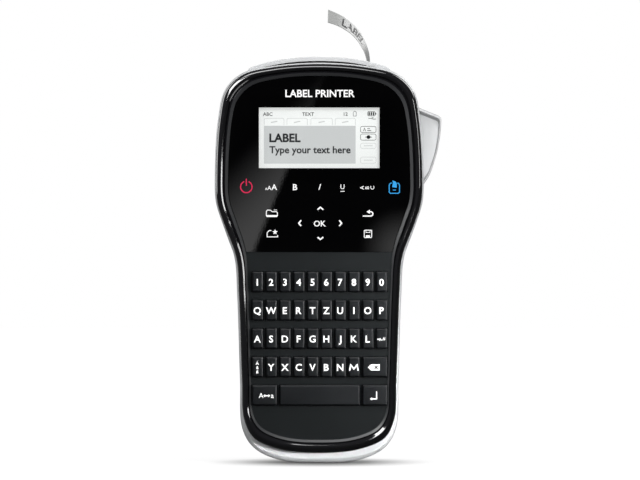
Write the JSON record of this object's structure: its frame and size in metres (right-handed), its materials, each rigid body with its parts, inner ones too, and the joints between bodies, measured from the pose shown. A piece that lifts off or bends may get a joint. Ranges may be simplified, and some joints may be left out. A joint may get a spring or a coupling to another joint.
{
  "type": "label maker",
  "caption": "Upright handheld label maker with a deep head, display panel, letter keyboard, side cutter lever, hinged back doors and printed tape leaving the top.",
  "frame": {"origin": "centre of the flat rest pad on the back of the grip, on the centre plane", "axes": "+X towards the cutter lever's side, +Y out of the back of the case, +Z from the grip to the head; the keys and the display face -Y"},
  "size_m": [0.115, 0.0589, 0.2303],
  "materials": {
    "silver_plastic": "satin silver paint on plastic",
    "light_grey_plastic": "satin light grey",
    "gloss_black_plastic": "polished rim, fine matte grain round the keys",
    "gloss_black_film": "high gloss",
    "display_glass": "clear window over a reflective light grey display",
    "silicone": "matte",
    "circuit_board": "solder mask",
    "battery_wrap": "satin",
    "cassette_plastic": "satin",
    "label_tape": "smooth satin tape",
    "lever_silver": "brushed satin silver",
    "steel": "ground",
    "head_ceramic": "satin",
    "roller_rubber": "matte",
    "brass": "satin",
    "key_plastic": "fine matte grain"
  },
  "bodies": {
    "case": {"rear_case": "silver_plastic", "front_case": "gloss_black_plastic", "display_panel": "gloss_black_film", "lcd_module": "display_glass", "keypad_mat": "silicone", "main_board": "circuit_board", "battery_pack": "battery_wrap", "cassette_case": "cassette_plastic", "print_head": "head_ceramic", "drive_motor": "steel"},
    "battery_door": {"battery_door": "silver_plastic"},
    "cassette_door": {"cassette_door": "light_grey_plastic"},
    "cutter_lever": {"cutter_lever": "lever_silver"},
    "cutter_blade": {"cutter_blade": "steel"},
    "platen_roller": {"platen_roller": "roller_rubber"},
    "motor_pinion": {"motor_pinion": "brass"},
    "tape_roll": {"tape_roll": "label_tape"},
    "label_tape": {"label_tape": "label_tape"},
    "key_1": {"key_1": "key_plastic"},
    "key_2": {"key_2": "key_plastic"},
    "key_3": {"key_3": "key_plastic"},
    "key_4": {"key_4": "key_plastic"},
    "key_5": {"key_5": "key_plastic"},
    "key_6": {"key_6": "key_plastic"},
    "key_7": {"key_7": "key_plastic"},
    "key_8": {"key_8": "key_plastic"},
    "key_9": {"key_9": "key_plastic"},
    "key_0": {"key_0": "key_plastic"},
    "key_q": {"key_q": "key_plastic"},
    "key_w": {"key_w": "key_plastic"},
    "key_e": {"key_e": "key_plastic"},
    "key_r": {"key_r": "key_plastic"},
    "key_t": {"key_t": "key_plastic"},
    "key_z": {"key_z": "key_plastic"},
    "key_u": {"key_u": "key_plastic"},
    "key_i": {"key_i": "key_plastic"},
    "key_o": {"key_o": "key_plastic"},
    "key_p": {"key_p": "key_plastic"},
    "key_a": {"key_a": "key_plastic"},
    "key_s": {"key_s": "key_plastic"},
    "key_d": {"key_d": "key_plastic"},
    "key_f": {"key_f": "key_plastic"},
    "key_g": {"key_g": "key_plastic"},
    "key_h": {"key_h": "key_plastic"},
    "key_j": {"key_j": "key_plastic"},
    "key_k": {"key_k": "key_plastic"},
    "key_l": {"key_l": "key_plastic"},
    "key_punctuation": {"key_punctuation": "key_plastic"},
    "key_accents": {"key_accents": "key_plastic"},
    "key_y": {"key_y": "key_plastic"},
    "key_x": {"key_x": "key_plastic"},
    "key_c": {"key_c": "key_plastic"},
    "key_v": {"key_v": "key_plastic"},
    "key_b": {"key_b": "key_plastic"},
    "key_n": {"key_n": "key_plastic"},
    "key_m": {"key_m": "key_plastic"},
    "key_backspace": {"key_backspace": "key_plastic"},
    "key_shift": {"key_shift": "key_plastic"},
    "key_space": {"key_space": "key_plastic"},
    "key_enter": {"key_enter": "key_plastic"}
  },
  "joints": [
    {"name": "battery_door_hinge", "type": "hinge", "parent": "case", "child": "battery_door", "pos_m": [0, -0.0017, 0.0103], "axis": [-1, 0, 0], "range_deg": [0, 90], "stiffness_Nm_per_rad": 0.01, "springref_deg": -5.73},
    {"name": "cassette_door_hinge", "type": "hinge", "parent": "case", "child": "cassette_door", "pos_m": [0, 0.0188, 0.0935], "axis": [-1, 0, 0], "range_deg": [0, 95], "stiffness_Nm_per_rad": 0.02, "springref_deg": -11.46},
    {"name": "cutter_lever_pivot", "type": "hinge", "parent": "case", "child": "cutter_lever", "pos_m": [0.0475, -0.0066, 0.1185], "axis": [0, -1, 0], "range_deg": [0, 12], "stiffness_Nm_per_rad": 0.05, "springref_deg": -1.15},
    {"name": "cutter_blade_slide", "type": "slide", "parent": "case", "child": "cutter_blade", "axis": [-1, 0, 0], "range_m": [0, 0.0076]},
    {"name": "feed_label_tape", "type": "slide", "parent": "case", "child": "label_tape", "axis": [0, 0, 1], "range_m": [0, 0.012]},
    {"name": "feed_platen_roller", "type": "hinge", "parent": "case", "child": "platen_roller", "pos_m": [0.0297, 0.0024, 0.1385], "axis": [0, 1, 0], "continuous": true},
    {"name": "feed_motor_pinion", "type": "hinge", "parent": "case", "child": "motor_pinion", "pos_m": [0.0153, -0.0084, 0.1385], "axis": [0, 1, 0], "continuous": true},
    {"name": "feed_tape_roll", "type": "hinge", "parent": "case", "child": "tape_roll", "pos_m": [-0.013, 0.0044, 0.1285], "axis": [0, 1, 0], "continuous": true},
    {"name": "key_1_press", "type": "slide", "parent": "case", "child": "key_1", "axis": [0, 1, 0], "range_m": [0, 0.0012], "stiffness_N_per_m": 60},
    {"name": "key_2_press", "type": "slide", "parent": "case", "child": "key_2", "axis": [0, 1, 0], "range_m": [0, 0.0012], "stiffness_N_per_m": 60},
    {"name": "key_3_press", "type": "slide", "parent": "case", "child": "key_3", "axis": [0, 1, 0], "range_m": [0, 0.0012], "stiffness_N_per_m": 60},
    {"name": "key_4_press", "type": "slide", "parent": "case", "child": "key_4", "axis": [0, 1, 0], "range_m": [0, 0.0012], "stiffness_N_per_m": 60},
    {"name": "key_5_press", "type": "slide", "parent": "case", "child": "key_5", "axis": [0, 1, 0], "range_m": [0, 0.0012], "stiffness_N_per_m": 60},
    {"name": "key_6_press", "type": "slide", "parent": "case", "child": "key_6", "axis": [0, 1, 0], "range_m": [0, 0.0012], "stiffness_N_per_m": 60},
    {"name": "key_7_press", "type": "slide", "parent": "case", "child": "key_7", "axis": [0, 1, 0], "range_m": [0, 0.0012], "stiffness_N_per_m": 60},
    {"name": "key_8_press", "type": "slide", "parent": "case", "child": "key_8", "axis": [0, 1, 0], "range_m": [0, 0.0012], "stiffness_N_per_m": 60},
    {"name": "key_9_press", "type": "slide", "parent": "case", "child": "key_9", "axis": [0, 1, 0], "range_m": [0, 0.0012], "stiffness_N_per_m": 60},
    {"name": "key_0_press", "type": "slide", "parent": "case", "child": "key_0", "axis": [0, 1, 0], "range_m": [0, 0.0012], "stiffness_N_per_m": 60},
    {"name": "key_q_press", "type": "slide", "parent": "case", "child": "key_q", "axis": [0, 1, 0], "range_m": [0, 0.0012], "stiffness_N_per_m": 60},
    {"name": "key_w_press", "type": "slide", "parent": "case", "child": "key_w", "axis": [0, 1, 0], "range_m": [0, 0.0012], "stiffness_N_per_m": 60},
    {"name": "key_e_press", "type": "slide", "parent": "case", "child": "key_e", "axis": [0, 1, 0], "range_m": [0, 0.0012], "stiffness_N_per_m": 60},
    {"name": "key_r_press", "type": "slide", "parent": "case", "child": "key_r", "axis": [0, 1, 0], "range_m": [0, 0.0012], "stiffness_N_per_m": 60},
    {"name": "key_t_press", "type": "slide", "parent": "case", "child": "key_t", "axis": [0, 1, 0], "range_m": [0, 0.0012], "stiffness_N_per_m": 60},
    {"name": "key_z_press", "type": "slide", "parent": "case", "child": "key_z", "axis": [0, 1, 0], "range_m": [0, 0.0012], "stiffness_N_per_m": 60},
    {"name": "key_u_press", "type": "slide", "parent": "case", "child": "key_u", "axis": [0, 1, 0], "range_m": [0, 0.0012], "stiffness_N_per_m": 60},
    {"name": "key_i_press", "type": "slide", "parent": "case", "child": "key_i", "axis": [0, 1, 0], "range_m": [0, 0.0012], "stiffness_N_per_m": 60},
    {"name": "key_o_press", "type": "slide", "parent": "case", "child": "key_o", "axis": [0, 1, 0], "range_m": [0, 0.0012], "stiffness_N_per_m": 60},
    {"name": "key_p_press", "type": "slide", "parent": "case", "child": "key_p", "axis": [0, 1, 0], "range_m": [0, 0.0012], "stiffness_N_per_m": 60},
    {"name": "key_a_press", "type": "slide", "parent": "case", "child": "key_a", "axis": [0, 1, 0], "range_m": [0, 0.0012], "stiffness_N_per_m": 60},
    {"name": "key_s_press", "type": "slide", "parent": "case", "child": "key_s", "axis": [0, 1, 0], "range_m": [0, 0.0012], "stiffness_N_per_m": 60},
    {"name": "key_d_press", "type": "slide", "parent": "case", "child": "key_d", "axis": [0, 1, 0], "range_m": [0, 0.0012], "stiffness_N_per_m": 60},
    {"name": "key_f_press", "type": "slide", "parent": "case", "child": "key_f", "axis": [0, 1, 0], "range_m": [0, 0.0012], "stiffness_N_per_m": 60},
    {"name": "key_g_press", "type": "slide", "parent": "case", "child": "key_g", "axis": [0, 1, 0], "range_m": [0, 0.0012], "stiffness_N_per_m": 60},
    {"name": "key_h_press", "type": "slide", "parent": "case", "child": "key_h", "axis": [0, 1, 0], "range_m": [0, 0.0012], "stiffness_N_per_m": 60},
    {"name": "key_j_press", "type": "slide", "parent": "case", "child": "key_j", "axis": [0, 1, 0], "range_m": [0, 0.0012], "stiffness_N_per_m": 60},
    {"name": "key_k_press", "type": "slide", "parent": "case", "child": "key_k", "axis": [0, 1, 0], "range_m": [0, 0.0012], "stiffness_N_per_m": 60},
    {"name": "key_l_press", "type": "slide", "parent": "case", "child": "key_l", "axis": [0, 1, 0], "range_m": [0, 0.0012], "stiffness_N_per_m": 60},
    {"name": "key_punctuation_press", "type": "slide", "parent": "case", "child": "key_punctuation", "axis": [0, 1, 0], "range_m": [0, 0.0012], "stiffness_N_per_m": 60},
    {"name": "key_accents_press", "type": "slide", "parent": "case", "child": "key_accents", "axis": [0, 1, 0], "range_m": [0, 0.0012], "stiffness_N_per_m": 60},
    {"name": "key_y_press", "type": "slide", "parent": "case", "child": "key_y", "axis": [0, 1, 0], "range_m": [0, 0.0012], "stiffness_N_per_m": 60},
    {"name": "key_x_press", "type": "slide", "parent": "case", "child": "key_x", "axis": [0, 1, 0], "range_m": [0, 0.0012], "stiffness_N_per_m": 60},
    {"name": "key_c_press", "type": "slide", "parent": "case", "child": "key_c", "axis": [0, 1, 0], "range_m": [0, 0.0012], "stiffness_N_per_m": 60},
    {"name": "key_v_press", "type": "slide", "parent": "case", "child": "key_v", "axis": [0, 1, 0], "range_m": [0, 0.0012], "stiffness_N_per_m": 60},
    {"name": "key_b_press", "type": "slide", "parent": "case", "child": "key_b", "axis": [0, 1, 0], "range_m": [0, 0.0012], "stiffness_N_per_m": 60},
    {"name": "key_n_press", "type": "slide", "parent": "case", "child": "key_n", "axis": [0, 1, 0], "range_m": [0, 0.0012], "stiffness_N_per_m": 60},
    {"name": "key_m_press", "type": "slide", "parent": "case", "child": "key_m", "axis": [0, 1, 0], "range_m": [0, 0.0012], "stiffness_N_per_m": 60},
    {"name": "key_backspace_press", "type": "slide", "parent": "case", "child": "key_backspace", "axis": [0, 1, 0], "range_m": [0, 0.0012], "stiffness_N_per_m": 60},
    {"name": "key_shift_press", "type": "slide", "parent": "case", "child": "key_shift", "axis": [0, 1, 0], "range_m": [0, 0.0012], "stiffness_N_per_m": 60},
    {"name": "key_space_press", "type": "slide", "parent": "case", "child": "key_space", "axis": [0, 1, 0], "range_m": [0, 0.0012], "stiffness_N_per_m": 60},
    {"name": "key_enter_press", "type": "slide", "parent": "case", "child": "key_enter", "axis": [0, 1, 0], "range_m": [0, 0.0012], "stiffness_N_per_m": 60}
  ],
  "couplings": [
    {"joint": "cutter_blade_slide", "follows": "cutter_lever_pivot", "m_per_rad": 0.036},
    {"joint": "feed_motor_pinion", "follows": "feed_platen_roller", "ratio": -2},
    {"joint": "feed_tape_roll", "follows": "feed_platen_roller", "ratio": -0.18182}
  ]
}
